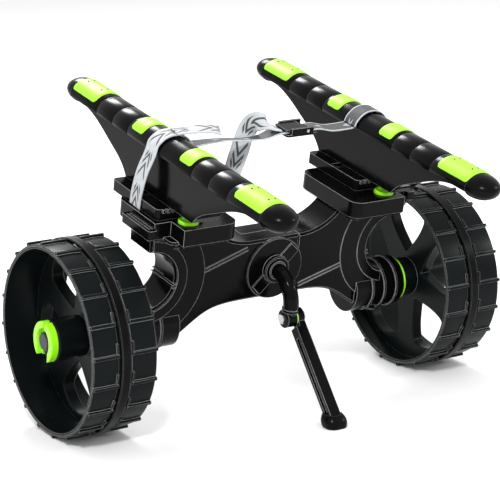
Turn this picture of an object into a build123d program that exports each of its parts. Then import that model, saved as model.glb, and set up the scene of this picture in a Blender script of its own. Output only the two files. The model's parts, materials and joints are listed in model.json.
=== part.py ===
from build123d import *
from math import atan2, cos, degrees, radians, sin, sqrt
import os

# Two-wheeled trolley for kayaks and canoes.
# Working frame: origin on the wheel axle under the middle of the frame, X along the axle,
# -Y towards the kickstand (front), Z up. Everything the frame carries is drawn level here and
# leans forwards by LEAN when it is placed; the wheels and the leg are drawn as they stand.
# A right-hand piece is drawn at +X. Its left-hand twin is mirrored or turned half a turn.

# ---------------------------------------------------------------- driving dimensions (mm)
LEAN = 10.3                 # forward lean of the frame on its leg, degrees
RUN = 0.05                  # running clearance of shafts, on the radius
SEAT = 0.2                  # gap between flat faces that slide
SOFT = 0.4                  # gap between webbing and what it lies on

WHEEL_R = 127.0             # over the tread bars
WHEEL_W = 89.0
WHEEL_INNER = 228.8         # from the middle of the cart to the wheel's inner face
TREAD_ROOT_R = 123.0        # tread surface between the bars
DRUM_R = 120.5              # moulded drum under the tread
RIM_INNER_R = 117.5
BAR_COUNT = 20
BAR_W = 5.0
BAND_W = 13.0               # plain centre band
BAND_GAP = 3.0
BAR_LAG = 6.0               # turn of the bars against the windows, degrees
DISC_INSET = 23.5           # from the wheel's inner face to its spoked disc
DISC_T = 17.0
HUB_R = 27.0
WINDOW_COUNT = 5
WINDOW_TIP = 36.0           # radius of the window's tip
WINDOW_END = 109.0          # radius of the window's outer edge
WINDOW_SIDE = ((50.0, 14.0), (73.0, 22.5), (94.0, 23.5))    # radius, half angle
WINDOW_CORNER = 9.0
WINDOW_ROUND = 2.0
LEFT_WHEEL_TURN = 44.5

AXLE_R = 12.5
AXLE_ROOT = 150.0           # inner end of the stub, in the barrel
GROOVE_R = 9.5
CLIP_PLATE = 3.0
CLIP_GRIP = 7.0
CLIP_R = 25.0
CLIP_GRIP_W = 9.0
CLIP_TOP_GAP = 5.0
CLIP_ROUND = 1.6
BAND_CHAMFER = 1.2
BUSH_WALL = 4.0
WASHER_T = 3.6
WASHER_R = 31.0

FRAME_DEPTH = 54.0          # front to back
CENTRE_TOP = 106.0
CENTRE_BOTTOM = 22.0
LAP = 38.0                  # half length of the lap joint in the middle
LAP_GAP = 0.15
BARREL_R = 34.0
BARREL_IN = 142.0
BARREL_OUT = 224.5
RIB_W = 3.0
RIB_H = 1.4
EDGE_ROUND = 3.0
ARM_TOP = (72.0, 113.0)     # point the arm's upper edge bends through
ARM_UNDER = ((145.0, -16.0), (110.0, 8.0))      # points its lower edge bends through
BARREL_RIBS = (168.0, 188.0, 208.0)
RIDGE_ENDS = (((44.0, 32.0), (155.0, 64.0)), ((44.0, 97.0), (155.0, 60.0)))
ARC_X = 192.0               # centre of the round bite in the outer edge
ARC_Z = 72.0
ARC_R = 40.0
STEP_RADII = (59.5, 86.5)
STEP_HEIGHTS = (2.4, 1.2)
RIDGE_W = 2.4
RIDGE_H = 1.2

BOSS_Z = 64.0
BOSS_R = 43.0
BOSS_T = 4.0
BAR_ACROSS = 17.0
COLLAR_R = 19.0
COLLAR_T = 7.0
PLUG_R = 12.5
PLUG_END = 20.0             # how far back the locking plug reaches

TABLE_IN = 90.0
TABLE_OUT = 196.0
TABLE_FRONT = -70.0
TABLE_BACK = 60.0
TABLE_Z = 132.0
TABLE_T = 26.0
TABLE_CORNER = 16.0
TABLE_CHAMFER = 4.0
TABLE_STEP_X = 172.0        # outside this the front edge steps back to the frame's face
TABLE_STEP_Y = -38.0
BELLY_DROP = 6.0
BELLY_INSET = 12.0
BLOCK_W = 13.0
BLOCK_FRONT = -46.0
BLOCK_BACK = 23.0
BLOCK_Z = 138.0
BLOCK_H = 14.0
SLOT_W = 2.0
SLOT_APART = 4.8
SLOT_DEPTH = 5.0
SCREW_R = 3.0
SCREW_HEAD_R = 5.0
SCREW_HEAD_T = 3.0
SCREW_DEEP = 16.0

PAD_X = 153.0               # middle of the hull pad
PLATE_IN = 118.0
PLATE_OUT = 190.0
PLATE_FRONT = -31.0
PLATE_BACK = 83.0
PLATE_T = 15.0
TOOTH_COUNT = 9
TOOTH_PITCH = 7.0
TOOTH_W = 3.2
TOOTH_OUT = 2.4
TRACK_Y = 26.0              # middle of the T track in the strap plate
TRACK_NECK = 14.0
TRACK_WIDE = 24.0
TRACK_LIP = 5.0
TRACK_DEPTH = 10.0
SHOE_HALF = 11.0

KEEL_HALF = 18.0
KEEL_FOOT = 83.0            # half length of the keel where it stands on the plate
PAD_HALF = 24.0
CAP_Z = 234.0
CAP_H = 21.0
CAP_END = 233.0             # where the rounded nose starts
KEEL_UNDER = ((165.0, 221.0), (126.0, 203.0), (96.0, 187.0))    # its curved lower edge
PAD_END = 262.0
NOSE_DROP = 11.0
GRIP_Z = 244.0
GRIP_SPANS = ((45.0, 73.0), (170.0, 232.0))
SEAMS = (79.0, 118.0, 160.0)
SEAM_W = 1.0

BUTTON_Y = -47.0
BUTTON_R = 13.0
BUTTON_H = 4.0
BUTTON_POCKET = 8.0
BUTTON_TRAVEL = 3.0
BUTTON_RIM = 4.0

ELBOW_R = 10.5
ELBOW_BEND = 38.0
KNUCKLE_Y = -76.0
KNUCKLE_Z = 12.0
KNUCKLE_R = 12.5
KNUCKLE_IN = 9.5
KNUCKLE_OUT = 4.5
BOLT_R = 4.0
HEAD_R = 7.0
HEAD_T = 4.5
SHIM_T = 1.4
EAR_T = 10.0                # eye of the leg
STRUT_W = 16.0
STRUT_D = 15.0
STRUT_LEAN = 38.0
GROOVE_W = 7.0
GROOVE_DEPTH = 4.0
FOOT_W = 32.0
FOOT_D = 30.0
FOOT_H = 17.0
FOOT_WALL = 7.0

WEB_W = 25.0
WEB_T = 2.2
WEB_Y = 10.0
SPAN_Z = 235.0
BUCKLE_X = 38.0
BUCKLE_L = 48.0
BUCKLE_W = 34.0
BUCKLE_T = 11.0
BUCKLE_WALL = 3.0
LEVER_OFFSET = 8.0          # from the middle of the buckle to the cam's pin
PIN_R = 2.0

# ---------------------------------------------------------------- worked-out values
WHEEL_OUTER = WHEEL_INNER + WHEEL_W
HUB_END = WHEEL_OUTER - 5.0
CLIP_X = HUB_END + 0.6
AXLE_END = CLIP_X + CLIP_PLATE + 6.0
TABLE_TOP = TABLE_Z + TABLE_T
PLATE_TOP = TABLE_TOP + PLATE_T
KEEL_Z = PLATE_TOP + SEAT
CROWN = CAP_Z + CAP_H
HALF_DEPTH = FRAME_DEPTH / 2
BOSS_FRONT = -HALF_DEPTH - BOSS_T
COLLAR_FRONT = BOSS_FRONT - COLLAR_T
KNUCKLE_GAP = SHIM_T + 0.3
EAR_IN = KNUCKLE_OUT + KNUCKLE_GAP
EAR_OUT = EAR_IN + EAR_T

lean = radians(LEAN)
KNUCKLE = (KNUCKLE_Y * cos(lean) - KNUCKLE_Z * sin(lean),
           KNUCKLE_Y * sin(lean) + KNUCKLE_Z * cos(lean))
STRUT_LENGTH = (WHEEL_R + KNUCKLE[1]) / cos(radians(STRUT_LEAN))
FOOT_MIDDLE = KNUCKLE[0] - STRUT_LENGTH * sin(radians(STRUT_LEAN)) + 6.0
BUCKLE_Z = SPAN_Z + 2.0     # underside of the buckle
LEVER_Z = BUCKLE_Z + BUCKLE_T - 4.5
# The noses of the pads are the cart's front and back ends, so this centres it on the origin.
NOSE_Z = CROWN - (CAP_H + NOSE_DROP) / 2
SHIFT_Y = NOSE_Z * sin(lean)
GROUND = Location((0, SHIFT_Y, WHEEL_R))
LEANT = Location((0, SHIFT_Y, WHEEL_R), (LEAN, 0, 0))
HALF_TURN = Location((0, 0, 0), (0, 0, 180))
ROLLED_ON = Location((0, 0, 0), (LEFT_WHEEL_TURN, 0, 0))

os.makedirs("parts", exist_ok=True)


def finish(piece, label, place, mirrored=False, turned=Location()):
    """Place a finished piece on the cart, give it its name and write its STEP file."""
    shape = piece.part
    if mirrored:
        shape = shape.mirror(Plane.YZ)
    piece.part = shape.moved(turned).moved(place)
    piece.part.label = label
    export_step(piece.part, f"parts/{label}.step")


def pair(make, name, place, left_turn=Location()):
    """Make a right-hand piece and its mirrored left-hand twin."""
    finish(make(), f"{name}_right", place)
    finish(make(), f"{name}_left", place, mirrored=True, turned=left_turn)


def slab(y_back):
    """The upright plane across the cart at y_back; extruding from it goes forwards."""
    return Plane.XZ.offset(-y_back)


def disc_plane(x):
    """The upright plane square to the axle at x; extruding from it goes outwards."""
    return Plane.YZ.offset(x)


# ---------------------------------------------------------------- wheels
def window():
    """A leaf-shaped window with its tip at the hub, centred on the local +X direction."""
    side = [(radius * cos(radians(half)), radius * sin(radians(half)))
            for radius, half in WINDOW_SIDE]
    other = [(x, -y) for x, y in side]
    with BuildSketch() as opening:
        with BuildLine():
            Spline((WINDOW_TIP, 0), *side)
            ThreePointArc(side[-1], (WINDOW_END, 0), other[-1])
            Spline((WINDOW_TIP, 0), *other)
        make_face()
        fillet(opening.vertices().sort_by(Axis.X)[-2:], WINDOW_CORNER)
    return opening.sketch


def wheel_rim():
    """Moulded rim shell that carries the tread."""
    with BuildPart() as rim:
        with BuildSketch(disc_plane(WHEEL_INNER)):
            Circle(DRUM_R)
            Circle(RIM_INNER_R, mode=Mode.SUBTRACT)
        extrude(amount=WHEEL_W)
    return rim


def wheel_disc():
    """Spoked disc near the inner side of the rim, with five windows and a long hub."""
    with BuildPart() as disc:
        with BuildSketch(disc_plane(WHEEL_INNER + DISC_INSET)):
            Circle(RIM_INNER_R)
            with PolarLocations(0, WINDOW_COUNT, start_angle=90):
                add(window(), mode=Mode.SUBTRACT)
        extrude(amount=DISC_T)
        rim_edges = disc.edges().filter_by(GeomType.CIRCLE).sort_by(SortBy.RADIUS)[-2:]
        walls = disc.edges().filter_by(Axis.X, reverse=True) - rim_edges
        fillet(walls, WINDOW_ROUND)
        with BuildSketch(disc_plane(WHEEL_INNER)):
            Circle(HUB_R)
        extrude(amount=HUB_END - WHEEL_INNER)
        fillet(disc.edges().filter_by(GeomType.CIRCLE).sort_by(Axis.X)[-1], WINDOW_ROUND)
        with BuildSketch(disc_plane(WHEEL_INNER)):
            Circle(AXLE_R + RUN + BUSH_WALL)
        extrude(amount=WHEEL_W, mode=Mode.SUBTRACT)
    return disc


def hub_bush():
    """Plain bush pressed into the hub, running on the axle."""
    with BuildPart() as bush:
        with BuildSketch(disc_plane(WHEEL_INNER)):
            Circle(AXLE_R + RUN + BUSH_WALL)
            Circle(AXLE_R + RUN, mode=Mode.SUBTRACT)
        extrude(amount=HUB_END - WHEEL_INNER)
    return bush


def tread():
    """Two rows of cross bars on a thin sleeve that leaves room for the centre band."""
    row = (WHEEL_W - BAND_W) / 2
    with BuildPart() as rows:
        with BuildSketch(disc_plane(WHEEL_INNER)):
            Circle(TREAD_ROOT_R)
            Circle(DRUM_R, mode=Mode.SUBTRACT)
        extrude(amount=WHEEL_W)
        with BuildSketch(disc_plane(WHEEL_INNER)) as bars:
            with PolarLocations(0, BAR_COUNT, start_angle=-BAR_LAG):
                with Locations(((TREAD_ROOT_R + WHEEL_R) / 2 - 1, 0)):
                    Rectangle(WHEEL_R - TREAD_ROOT_R + 2, BAR_W)
            Circle(WHEEL_R, mode=Mode.INTERSECT)
        extrude(bars.sketch, amount=row - BAND_GAP)
        extrude(bars.sketch.moved(Location((row + BAND_W + BAND_GAP, 0, 0))),
                amount=row - BAND_GAP)
        with BuildSketch(disc_plane(WHEEL_INNER + row)):
            Circle(WHEEL_R + 1)
            Circle(DRUM_R + 2, mode=Mode.SUBTRACT)
        extrude(amount=BAND_W, mode=Mode.SUBTRACT)
    return rows


def centre_band():
    """Plain rubber ring round the middle of the tread."""
    row = (WHEEL_W - BAND_W) / 2
    with BuildPart() as band:
        with BuildSketch(disc_plane(WHEEL_INNER + row)):
            Circle(WHEEL_R)
            Circle(DRUM_R + 2, mode=Mode.SUBTRACT)
        extrude(amount=BAND_W)
        chamfer(band.edges().filter_by(GeomType.CIRCLE).sort_by(SortBy.RADIUS)[-2:], BAND_CHAMFER)
    return band


def wheel_clip():
    """Horseshoe clip that drops into the axle's groove and keeps the wheel on."""
    with BuildPart() as clip:
        with BuildSketch(disc_plane(CLIP_X + SEAT)):
            Ellipse(CLIP_R - 2, CLIP_R)
            with Locations((0, -CLIP_R)):
                Rectangle(2 * (GROOVE_R + SEAT), 2 * CLIP_R, mode=Mode.SUBTRACT)
            Circle(GROOVE_R + SEAT, mode=Mode.SUBTRACT)
        extrude(amount=CLIP_PLATE - 2 * SEAT)
        with BuildSketch(disc_plane(CLIP_X + SEAT)):
            Ellipse(CLIP_R, CLIP_R + 2)
            Ellipse(CLIP_R - CLIP_GRIP_W, CLIP_R + 2 - CLIP_GRIP_W, mode=Mode.SUBTRACT)
            with Locations((0, -CLIP_R)):
                Rectangle(2 * (AXLE_R + 1), 2 * CLIP_R, mode=Mode.SUBTRACT)
            with Locations((0, CLIP_R)):
                Rectangle(CLIP_TOP_GAP, 2 * CLIP_GRIP_W, mode=Mode.SUBTRACT)
        extrude(amount=CLIP_PLATE + CLIP_GRIP)
        fillet(clip.faces().sort_by(Axis.X)[-2:].edges(), CLIP_ROUND)
    return clip


# ---------------------------------------------------------------- frame
def axle_stub():
    """Stub axle with a groove for the clip, pressed into the frame's barrel."""
    with BuildPart() as axle:
        with BuildSketch(disc_plane(AXLE_ROOT)):
            Circle(AXLE_R)
        extrude(amount=AXLE_END - AXLE_ROOT)
        with BuildSketch(disc_plane(CLIP_X)):
            Circle(AXLE_R + 1)
            Circle(GROOVE_R, mode=Mode.SUBTRACT)
        extrude(amount=CLIP_PLATE, mode=Mode.SUBTRACT)
        chamfer(axle.edges().filter_by(GeomType.CIRCLE).sort_by(Axis.X)[-1], 2)
    return axle


def axle_washer():
    """Bright spacer between the barrel and the wheel."""
    with BuildPart() as washer:
        with BuildSketch(disc_plane(BARREL_OUT)):
            Circle(WASHER_R)
            Circle(AXLE_R + RUN, mode=Mode.SUBTRACT)
        extrude(amount=WASHER_T)
    return washer


def frame_outline():
    """Front view of the right half, from the lap joint to the barrel."""
    lap_end = -LAP
    lobe_z = TABLE_Z
    bite_top = (ARC_X, ARC_Z + ARC_R)
    bite_low_x = ARC_X - ARC_R / 5
    bite_low_z = ARC_Z - ARC_R * sqrt(1 - 1 / 25)
    with BuildSketch() as outline:
        with BuildLine():
            Line((lap_end, CENTRE_BOTTOM), (lap_end, CENTRE_TOP))
            Line((lap_end, CENTRE_TOP), (LAP, CENTRE_TOP))
            ThreePointArc((LAP, CENTRE_TOP), ARM_TOP, (TABLE_IN + 8, lobe_z))
            Line((TABLE_IN + 8, lobe_z), (ARC_X, lobe_z))
            Line((ARC_X, lobe_z), bite_top)
            ThreePointArc(bite_top, (ARC_X - ARC_R, ARC_Z), (bite_low_x, bite_low_z))
            Line((bite_low_x, bite_low_z), (bite_low_x, -BARREL_R + 1.5))
            Spline((bite_low_x, -BARREL_R + 1.5), *ARM_UNDER, (LAP, CENTRE_BOTTOM),
                   tangents=((-1, 0.25), (-1, 0)))
            Line((LAP, CENTRE_BOTTOM), (lap_end, CENTRE_BOTTOM))
        make_face()
    return outline.sketch


def ridge(start, end):
    """A double line from start to end in the front view, for raising on the frame's face."""
    length = sqrt((end[0] - start[0]) ** 2 + (end[1] - start[1]) ** 2)
    turn = degrees(atan2(end[1] - start[1], end[0] - start[0]))
    middle = ((start[0] + end[0]) / 2, (start[1] + end[1]) / 2)
    with BuildSketch() as lines:
        with Locations(Location((*middle, 0), turn)):
            with Locations((0, RIDGE_W), (0, -RIDGE_W)):
                Rectangle(length, RIDGE_W / 2)
    return lines.sketch


def frame_half():
    """Right half of the moulded frame; the left half is the same piece turned half a turn."""
    with BuildPart() as half:
        with BuildSketch(slab(HALF_DEPTH)):
            add(frame_outline())
        extrude(amount=FRAME_DEPTH)
        rims = half.edges().group_by(Axis.Y)
        chamfer(rims[0] + rims[-1], EDGE_ROUND)
        for radius, height in zip(STEP_RADII, STEP_HEIGHTS):
            with BuildSketch(slab(HALF_DEPTH + height)) as step:
                add(frame_outline())
                with Locations((ARC_X, ARC_Z)):
                    Circle(radius, mode=Mode.INTERSECT)
                offset(amount=-EDGE_ROUND, kind=Kind.INTERSECTION, mode=Mode.REPLACE)
            extrude(step.sketch, amount=FRAME_DEPTH + 2 * height)
        with BuildSketch(slab(0)):
            add(ridge(*RIDGE_ENDS[0]))
        extrude(amount=HALF_DEPTH + RIDGE_H)
        with BuildSketch(slab(HALF_DEPTH + RIDGE_H)):
            add(ridge(*RIDGE_ENDS[1]))
        extrude(amount=HALF_DEPTH)
        with BuildSketch(disc_plane(BARREL_IN)):
            Circle(BARREL_R)
        extrude(amount=BARREL_OUT - BARREL_IN)
        fillet(half.edges().filter_by(GeomType.CIRCLE).sort_by(Axis.X)[-1], EDGE_ROUND)
        for x in BARREL_RIBS:
            with BuildSketch(disc_plane(x)):
                Circle(BARREL_R + RIB_H)
                Circle(BARREL_R - 2, mode=Mode.SUBTRACT)
            extrude(amount=RIB_W)
        with BuildSketch(slab(LAP_GAP / 2)):
            with Locations((0, (CENTRE_TOP + CENTRE_BOTTOM) / 2)):
                Rectangle(2 * LAP + LAP_GAP, CENTRE_TOP - CENTRE_BOTTOM + 20)
        extrude(amount=HALF_DEPTH + 5, mode=Mode.SUBTRACT)
        with BuildSketch(slab(HALF_DEPTH + 1)):
            with Locations((0, BOSS_Z)):
                Circle(PLUG_R + RUN)
        extrude(amount=FRAME_DEPTH + 2, mode=Mode.SUBTRACT)
        with BuildSketch(disc_plane(AXLE_ROOT)):
            Circle(AXLE_R)
        extrude(amount=BARREL_OUT - AXLE_ROOT + 1, mode=Mode.SUBTRACT)
    return half


def boss_plate():
    """Round locking plate on the front of the lap joint, with a collar for the leg."""
    with BuildPart() as plate:
        with BuildSketch(slab(-HALF_DEPTH)):
            with Locations((0, BOSS_Z)):
                Circle(BOSS_R)
        extrude(amount=BOSS_T)
        chamfer(plate.edges().group_by(Axis.Y)[0], 1)
        with BuildSketch(slab(BOSS_FRONT + 1)):
            with Locations(Location((0, BOSS_Z, 0), 45)):
                Rectangle(2 * BOSS_R - 8, BAR_ACROSS)
        extrude(amount=3.2)
        with BuildSketch(slab(BOSS_FRONT + 1)):
            with Locations((0, BOSS_Z)):
                Circle(COLLAR_R)
        extrude(amount=COLLAR_T + 1)
        chamfer(plate.edges().group_by(Axis.Y)[0], 1.5)
        with BuildSketch(slab(1)):
            with Locations((0, BOSS_Z)):
                Circle(PLUG_R + RUN)
        extrude(amount=HALF_DEPTH + BOSS_T + COLLAR_T + 3, mode=Mode.SUBTRACT)
    return plate


def back_plate():
    """Matching plate on the back of the lap joint."""
    with BuildPart() as plate:
        with BuildSketch(slab(HALF_DEPTH + BOSS_T)):
            with Locations((0, BOSS_Z)):
                Circle(BOSS_R - 8)
        extrude(amount=BOSS_T)
        chamfer(plate.edges().group_by(Axis.Y)[-1], 1)
    return plate


# ---------------------------------------------------------------- pad carriers
def screw_places():
    """Where the four screws go up into the bracket."""
    front = (-HALF_DEPTH - 3 + TABLE_FRONT + BELLY_INSET) / 2
    back = (HALF_DEPTH + 3 + TABLE_BACK - BELLY_INSET) / 2
    return [(x, y) for x in (TABLE_IN + 26, TABLE_OUT - 30) for y in (front, back)]


def pad_table():
    """Bracket on the frame's lobe that carries a hull pad, with a pocket for the button."""
    centre = ((TABLE_IN + TABLE_OUT) / 2, (TABLE_FRONT + TABLE_BACK) / 2)
    size = (TABLE_OUT - TABLE_IN, TABLE_BACK - TABLE_FRONT)
    with BuildPart() as table:
        with BuildSketch(Plane.XY.offset(TABLE_Z)):
            with Locations(centre):
                RectangleRounded(size[0], size[1], TABLE_CORNER)
            with Locations((TABLE_STEP_X, TABLE_STEP_Y)):
                Rectangle(2 * TABLE_OUT, 2 * TABLE_OUT, align=(Align.MIN, Align.MAX),
                          mode=Mode.SUBTRACT)
        extrude(amount=TABLE_T)
        chamfer(table.edges().group_by(Axis.Z)[0], TABLE_CHAMFER)
        for y_in, y_out in ((-HALF_DEPTH - 3, TABLE_FRONT + BELLY_INSET),
                            (HALF_DEPTH + 3, TABLE_BACK - BELLY_INSET)):
            with BuildSketch(Plane.XY.offset(TABLE_Z - BELLY_DROP)) as belly:
                with Locations((centre[0] - 2, (y_in + y_out) / 2)):
                    RectangleRounded(size[0] - 2 * BELLY_INSET, abs(y_out - y_in), 8)
            extrude(belly.sketch, amount=BELLY_DROP + 6)
        with BuildSketch(Plane.XY.offset(TABLE_TOP - BUTTON_POCKET)):
            with Locations((PAD_X, BUTTON_Y)):
                Circle(BUTTON_R + 0.5)
        extrude(amount=BUTTON_POCKET, mode=Mode.SUBTRACT)
        with BuildSketch(Plane.XY.offset(TABLE_Z - BELLY_DROP)):
            with Locations(*screw_places()):
                Circle(SCREW_R)
        extrude(amount=SCREW_DEEP, mode=Mode.SUBTRACT)
    return table


def strap_block():
    """Bar on the outer side of the bracket, with two long slots for the webbing."""
    length = BLOCK_BACK - BLOCK_FRONT
    middle = (BLOCK_FRONT + BLOCK_BACK) / 2
    with BuildPart() as block:
        with BuildSketch(Plane.XY.offset(BLOCK_Z)):
            with Locations((TABLE_OUT + BLOCK_W / 2, middle)):
                RectangleRounded(BLOCK_W, length, 4)
        extrude(amount=BLOCK_H)
        chamfer(block.edges().group_by(Axis.Z)[0], 2)
        with BuildSketch(Plane.XY.offset(BLOCK_Z + BLOCK_H - SLOT_DEPTH)):
            with Locations((TABLE_OUT + (BLOCK_W - SLOT_APART) / 2, middle),
                           (TABLE_OUT + (BLOCK_W + SLOT_APART) / 2, middle)):
                RectangleRounded(SLOT_W, length - BLOCK_H, 0.4 * SLOT_W)
        extrude(amount=SLOT_DEPTH, mode=Mode.SUBTRACT)
    return block


def table_screws():
    """Four screws that hold the bracket's belly to the frame, as separate solids."""
    places = screw_places()
    with BuildPart() as screws:
        with BuildSketch(Plane.XY.offset(TABLE_Z - BELLY_DROP - SCREW_HEAD_T)):
            with Locations(*places):
                Circle(SCREW_HEAD_R)
        extrude(amount=SCREW_HEAD_T)
        with BuildSketch(Plane.XY.offset(TABLE_Z - BELLY_DROP)):
            with Locations(*places):
                Circle(SCREW_R)
        extrude(amount=SCREW_DEEP)
    return screws


def strap_plate():
    """Flange the keel slides on: T track across, teeth along the front, slots for webbing."""
    size = (PLATE_OUT - PLATE_IN, PLATE_BACK - PLATE_FRONT)
    centre = ((PLATE_IN + PLATE_OUT) / 2, (PLATE_FRONT + PLATE_BACK) / 2)
    with BuildPart() as plate:
        with BuildSketch(Plane.XY.offset(TABLE_TOP)):
            with Locations(centre):
                RectangleRounded(size[0], size[1], 5)
        extrude(amount=PLATE_T)
        with BuildSketch(Plane.XY.offset(PLATE_TOP - 5)):
            first = PAD_X - TOOTH_PITCH * (TOOTH_COUNT - 1) / 2
            for index in range(TOOTH_COUNT):
                with Locations((first + index * TOOTH_PITCH, PLATE_FRONT)):
                    Rectangle(TOOTH_W, 2 * TOOTH_OUT)
        extrude(amount=5)
        with BuildSketch(disc_plane(PLATE_IN + 4)):
            with Locations((TRACK_Y, PLATE_TOP)):
                Rectangle(TRACK_NECK, 2 * TRACK_DEPTH)
            with Locations((TRACK_Y, PLATE_TOP - (TRACK_LIP + TRACK_DEPTH) / 2)):
                Rectangle(TRACK_WIDE, TRACK_DEPTH - TRACK_LIP)
        extrude(amount=size[0] - 8, mode=Mode.SUBTRACT)
    return plate


def release_button():
    """Round bright button that frees the pad; its front rim shows under the keel."""
    with BuildPart() as button:
        with BuildSketch(Plane.XY.offset(TABLE_TOP - BUTTON_POCKET + BUTTON_TRAVEL + 1)):
            with Locations((PAD_X, BUTTON_Y)):
                Circle(BUTTON_R)
        extrude(amount=BUTTON_POCKET - BUTTON_TRAVEL - 1 + BUTTON_H)
        chamfer(button.edges().group_by(Axis.Z)[-1], 1.2)
        with BuildSketch(Plane.XY.offset(TABLE_TOP + BUTTON_H - 3)):
            with Locations((PAD_X, BUTTON_Y)):
                Circle(BUTTON_R - BUTTON_RIM)
        extrude(amount=3, mode=Mode.SUBTRACT)
    return button


# ---------------------------------------------------------------- hull pads
def keel_outline():
    """Side view of the keel, from the front tip to the back tip."""
    tip = CAP_END
    with BuildSketch() as outline:
        with BuildLine():
            Line((-tip, CAP_Z - 4), (-tip, CAP_Z))
            Line((-tip, CAP_Z), (tip, CAP_Z))
            Line((tip, CAP_Z), (tip, CAP_Z - 4))
            Spline((tip, CAP_Z - 4), *KEEL_UNDER, (KEEL_FOOT, KEEL_Z))
            Line((KEEL_FOOT, KEEL_Z), (-KEEL_FOOT, KEEL_Z))
            Spline((-KEEL_FOOT, KEEL_Z), *[(-y, z) for y, z in KEEL_UNDER[::-1]], (-tip, CAP_Z - 4))
        make_face()
    return outline.sketch


def pad_keel():
    """Stiff keel under a hull pad, with a T shoe that runs in the plate's track."""
    with BuildPart() as keel:
        with BuildSketch(disc_plane(PAD_X - KEEL_HALF)):
            add(keel_outline())
        extrude(amount=2 * KEEL_HALF)
        with BuildSketch(disc_plane(PAD_X - SHOE_HALF)):
            with Locations((TRACK_Y, PLATE_TOP)):
                Rectangle(TRACK_NECK - 2 * SEAT, 2 * (TRACK_LIP + SEAT + 0.5))
            with Locations((TRACK_Y, PLATE_TOP - (TRACK_LIP + TRACK_DEPTH) / 2)):
                Rectangle(TRACK_WIDE - 2 * SEAT, TRACK_DEPTH - TRACK_LIP - 2 * SEAT)
        extrude(amount=2 * SHOE_HALF)
    return keel


def dome(grow=0.0, base=CAP_Z):
    """Top of an ellipse above a base line: the section of the pad's soft top."""
    with BuildSketch() as section:
        with Locations((PAD_X, CAP_Z)):
            Ellipse(PAD_HALF + grow, CAP_H + grow)
        with Locations((PAD_X, base - 2 * CAP_H)):
            Rectangle(4 * PAD_HALF, 4 * CAP_H, mode=Mode.SUBTRACT)
    return section.sketch


def pad_cap():
    """Soft black top of a pad with pockets for the grips and fine seams between its pads."""
    with BuildPart() as cap:
        with BuildSketch(slab(CAP_END)):
            add(dome())
        extrude(amount=2 * CAP_END)
        for near, far in GRIP_SPANS:
            for low, high in ((near, far), (-far, -near)):
                with Locations(Location((PAD_X, (low + high) / 2, GRIP_Z + CAP_H / 2))):
                    Box(3 * PAD_HALF, high - low, CAP_H, mode=Mode.SUBTRACT)
        for y in SEAMS:
            for side in (-1, 1):
                with BuildSketch(slab(side * y + SEAM_W / 2)):
                    add(dome(grow=1))
                    add(dome(grow=-SEAM_W), mode=Mode.SUBTRACT)
                extrude(amount=SEAM_W, mode=Mode.SUBTRACT)
    return cap


def pad_grips():
    """Four bright rubber grips let into the top of a pad, as separate solids."""
    with BuildPart() as grips:
        for near, far in GRIP_SPANS:
            for low, high in ((near, far), (-far, -near)):
                with BuildSketch(slab(high)):
                    add(dome(base=GRIP_Z))
                extrude(amount=high - low)
    return grips


def pad_noses():
    """Rounded rubber ends of a pad, as separate solids."""
    tip = PAD_END - CAP_END
    middle = CROWN - (CAP_H + NOSE_DROP) / 2
    high = (CAP_H + NOSE_DROP) / 2
    with BuildPart() as noses:
        with BuildSketch(Plane.XY):
            Ellipse(1, 1)
            with Locations((0, -2)):
                Rectangle(4, 4, mode=Mode.SUBTRACT)
            with Locations((-2, 0)):
                Rectangle(4, 4, mode=Mode.SUBTRACT)
        revolve(axis=Axis.Y, revolution_arc=360)
    quarter = noses.part
    front = scale(quarter, by=(PAD_HALF - 1, tip, high)).moved(Location((PAD_X, CAP_END, middle)))
    back = front.mirror(Plane.XZ)
    with BuildPart() as ends:
        add(front)
        add(back)
    return ends


# ---------------------------------------------------------------- leg
def leg_elbow():
    """Curved arm that plugs through the lap joint and carries the folding leg."""
    with BuildPart() as elbow:
        with BuildSketch(slab(PLUG_END)):
            with Locations((0, BOSS_Z)):
                Circle(PLUG_R)
        extrude(amount=PLUG_END - COLLAR_FRONT)
        with BuildLine(Plane.YZ) as path:
            FilletPolyline((COLLAR_FRONT + 2, BOSS_Z), (KNUCKLE_Y, BOSS_Z), (KNUCKLE_Y, KNUCKLE_Z),
                           radius=ELBOW_BEND)
        with BuildSketch(slab(COLLAR_FRONT + 2)):
            with Locations((0, BOSS_Z)):
                Circle(ELBOW_R)
        sweep(path=path.line)
        with BuildSketch(Plane.XY.offset(BOSS_Z - ELBOW_BEND - 4)):
            with Locations((0, KNUCKLE_Y)):
                Circle(ELBOW_R + 1.3)
        extrude(amount=4)
        with BuildSketch(disc_plane(-KNUCKLE_IN)):
            with Locations((KNUCKLE_Y, KNUCKLE_Z)):
                Circle(KNUCKLE_R)
        extrude(amount=KNUCKLE_IN + KNUCKLE_OUT)
        for face_x, way, radius in ((KNUCKLE_OUT, 1, KNUCKLE_R + 6), (-KNUCKLE_IN, -1, HEAD_R + 2)):
            with BuildSketch(disc_plane(face_x)):
                with Locations((KNUCKLE_Y, KNUCKLE_Z)):
                    Circle(radius)
            extrude(amount=way * 20, mode=Mode.SUBTRACT)
        with BuildSketch(disc_plane(-KNUCKLE_IN - 10)):
            with Locations((KNUCKLE_Y, KNUCKLE_Z)):
                Circle(BOLT_R)
        extrude(amount=40, mode=Mode.SUBTRACT)
    return elbow


def knuckle_bolt():
    """Bolt through the knuckle: head on one side, plain shank through the leg's eye."""
    with BuildPart() as bolt:
        with BuildSketch(disc_plane(-KNUCKLE_IN - HEAD_T)):
            with Locations(KNUCKLE):
                RegularPolygon(HEAD_R, 6)
        extrude(amount=HEAD_T)
        with BuildSketch(disc_plane(-KNUCKLE_IN)):
            with Locations(KNUCKLE):
                Circle(BOLT_R)
        extrude(amount=KNUCKLE_IN + EAR_OUT + 5.5)
    return bolt


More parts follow.
